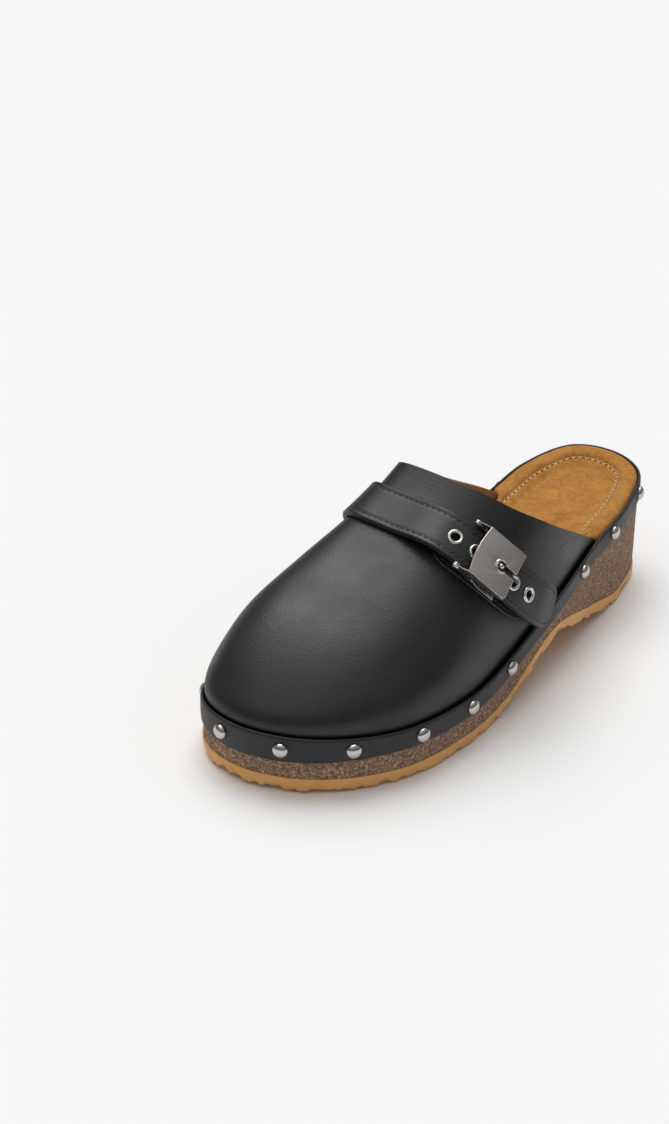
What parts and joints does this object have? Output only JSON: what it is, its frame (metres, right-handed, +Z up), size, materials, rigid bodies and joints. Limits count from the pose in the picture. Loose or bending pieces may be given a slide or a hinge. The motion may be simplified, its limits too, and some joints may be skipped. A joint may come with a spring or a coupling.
{
  "type": "clog",
  "caption": "Closed-toe clog mule for the left foot: leather upper on a cork platform with a studded rand, crepe sole, instep strap and hinged flip buckle.",
  "frame": {"origin": "on the floor, under the middle of the clog's floor box", "axes": "+Z up, -Y towards the toe, +Y towards the heel, +X towards the outer side with the buckle"},
  "size_m": [0.103, 0.2614, 0.0923],
  "materials": {
    "crepe": "satin",
    "cork": "matte",
    "fibre_board": "matte",
    "foam": "matte",
    "suede": "matte",
    "leather": "satin",
    "lining": "matte",
    "rand_leather": "satin",
    "strap_leather": "satin",
    "stud_nickel": "polished",
    "bright_nickel": "polished",
    "gunmetal": "satin"
  },
  "bodies": {
    "clog": {"outsole": "crepe", "cork_platform": "cork", "insole_board": "fibre_board", "footbed_foam": "foam", "sock_lining": "suede", "vamp_outer": "leather", "toe_puff": "fibre_board", "vamp_lining": "lining", "rand": "rand_leather", "stud_01": "stud_nickel", "stud_02": "stud_nickel", "stud_03": "stud_nickel", "stud_04": "stud_nickel", "stud_05": "stud_nickel", "stud_06": "stud_nickel", "stud_07": "stud_nickel", "stud_08": "stud_nickel", "stud_09": "stud_nickel", "stud_10": "stud_nickel", "stud_11": "stud_nickel", "stud_12": "stud_nickel", "stud_13": "stud_nickel", "stud_14": "stud_nickel", "stud_15": "stud_nickel", "stud_16": "stud_nickel", "stud_17": "stud_nickel", "stud_18": "stud_nickel", "strap_outer": "strap_leather", "strap_lining": "strap_leather", "chape": "strap_leather", "eyelet_1": "bright_nickel", "eyelet_2": "bright_nickel", "eyelet_3": "bright_nickel", "eyelet_4": "bright_nickel", "eyelet_5": "bright_nickel", "buckle_base": "gunmetal", "hinge_pin_front": "bright_nickel", "hinge_pin_rear": "bright_nickel"},
    "buckle_flap": {"buckle_plate": "gunmetal", "buckle_prong": "bright_nickel", "buckle_post": "bright_nickel", "keyhole_rim": "bright_nickel"}
  },
  "joints": [
    {"name": "buckle_hinge", "type": "hinge", "parent": "clog", "child": "buckle_flap", "pos_m": [0.02918, -0.02879, 0.07814], "axis": [0.1407, -0.8693, -0.4739], "range_deg": [0, 100]}
  ]
}
